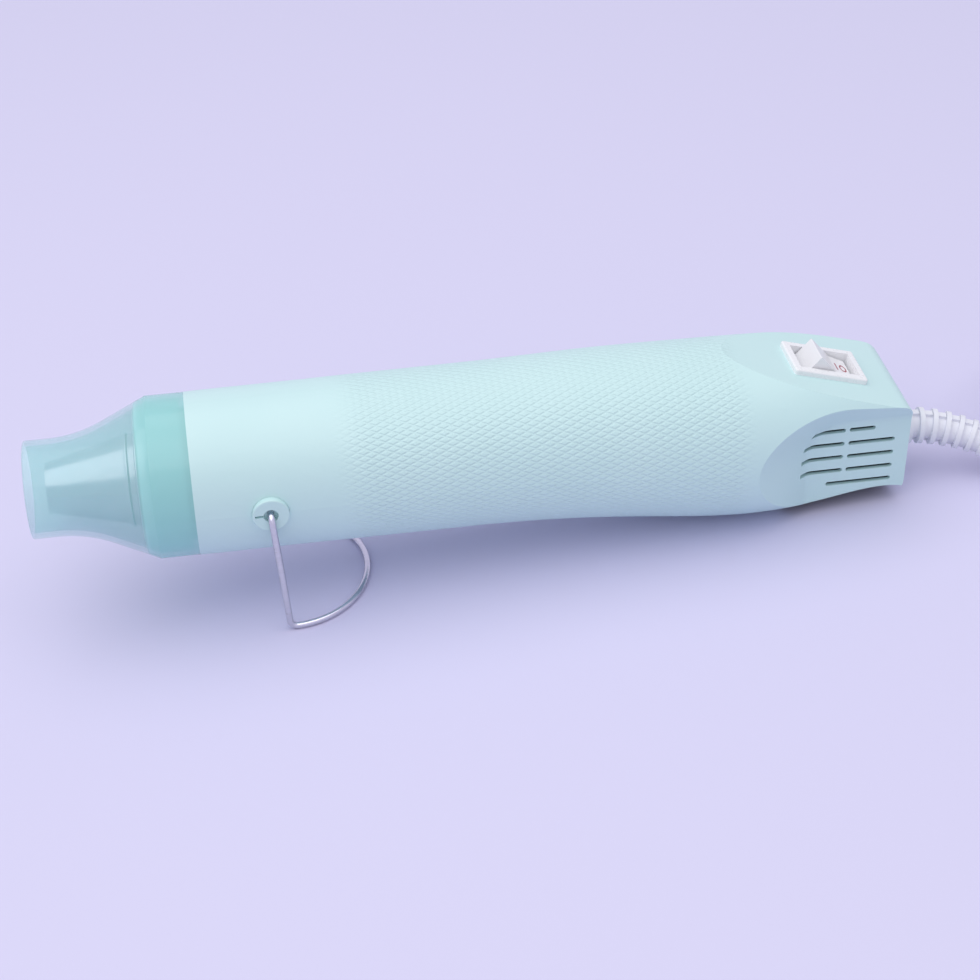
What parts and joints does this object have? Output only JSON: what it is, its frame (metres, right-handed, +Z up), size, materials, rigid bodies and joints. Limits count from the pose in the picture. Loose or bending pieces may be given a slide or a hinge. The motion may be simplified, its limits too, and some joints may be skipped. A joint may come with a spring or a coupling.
{
  "type": "embossing heat tool",
  "caption": "Slim hand-held embossing heat tool with a round barrel grip, translucent nozzle guard, steel nozzle, fold-out wire stand, rocker switch, strain relief and coiled mains cord.",
  "frame": {"origin": "on the floor under the middle of the tool's length, with the tool at rest on its belly and wire stand", "axes": "+Z up, +X from the nozzle towards the cord, -Y the side with the rocker's far edge hidden and the nearer vent slots"},
  "size_m": [0.3574, 0.0703, 0.0609],
  "materials": {
    "body_mint": "satin moulded",
    "guard_translucent": "translucent, smooth",
    "nozzle_steel": "bright spun steel",
    "wire_steel": "bright drawn wire",
    "sheet_steel": "zinc plated",
    "screw_steel": "zinc plated",
    "mica": "layered mica, dull",
    "heater_wire": "oxidised resistance wire",
    "terminal_brass": "plain",
    "inner_black": "moulded",
    "motor_can": "plated can",
    "board_green": "fibre board",
    "diode_black": "moulded",
    "switch_white": "smooth moulded",
    "relief_white": "soft moulded",
    "cord_white": "smooth sheath",
    "tie_white": "flexible",
    "plug_white": "moulded",
    "pin_nickel": "nickel plated",
    "lead_brown": "silicone sleeve",
    "lead_blue": "silicone sleeve"
  },
  "bodies": {
    "housing": {"near_shell": "body_mint", "far_shell": "body_mint", "housing_screws": "screw_steel", "nozzle_guard": "guard_translucent", "steel_nozzle": "nozzle_steel", "front_tube_ring": "sheet_steel", "rear_tube_ring": "sheet_steel", "mica_sleeve": "mica", "heater_former": "mica", "heater_winding": "heater_wire", "heater_base": "mica", "heater_terminals": "terminal_brass", "thermal_cutout": "sheet_steel", "fan_shroud": "inner_black", "motor": "motor_can", "motor_mount": "inner_black", "mount_screws": "screw_steel", "rectifier_board": "board_green", "rectifier_diodes": "diode_black", "switch_bezel": "switch_white", "switch_terminals": "terminal_brass", "stand_bush_near": "body_mint", "stand_bush_far": "body_mint", "strain_relief": "relief_white", "inner_cord": "cord_white", "cord_clamp": "inner_black", "clamp_screws": "screw_steel", "lead_live": "lead_brown", "lead_heater": "lead_blue", "lead_return": "lead_blue", "cord_run": "cord_white", "cord_coil": "cord_white", "cord_tail": "cord_white", "cord_tie": "tie_white", "plug_body": "plug_white", "plug_pins": "pin_nickel"},
    "stand": {"stand_wire": "wire_steel"},
    "rocker": {"switch_rocker": "switch_white"},
    "rotor": {"impeller": "inner_black", "motor_shaft": "screw_steel"}
  },
  "joints": [
    {"name": "stand_hinge", "type": "hinge", "parent": "housing", "child": "stand", "pos_m": [-0.05457, 0, 0.03739], "axis": [0, 1, 0], "range_deg": [0, 94.6]},
    {"name": "rocker_hinge", "type": "hinge", "parent": "housing", "child": "rocker", "pos_m": [0.09516, 0, 0.03697], "axis": [0, 1, 0], "range_deg": [-20, 0]},
    {"name": "rotor_spin", "type": "hinge", "parent": "housing", "child": "rotor", "pos_m": [0.02328, 0, 0.03113], "axis": [0.9968, 0, -0.0802], "continuous": true}
  ]
}
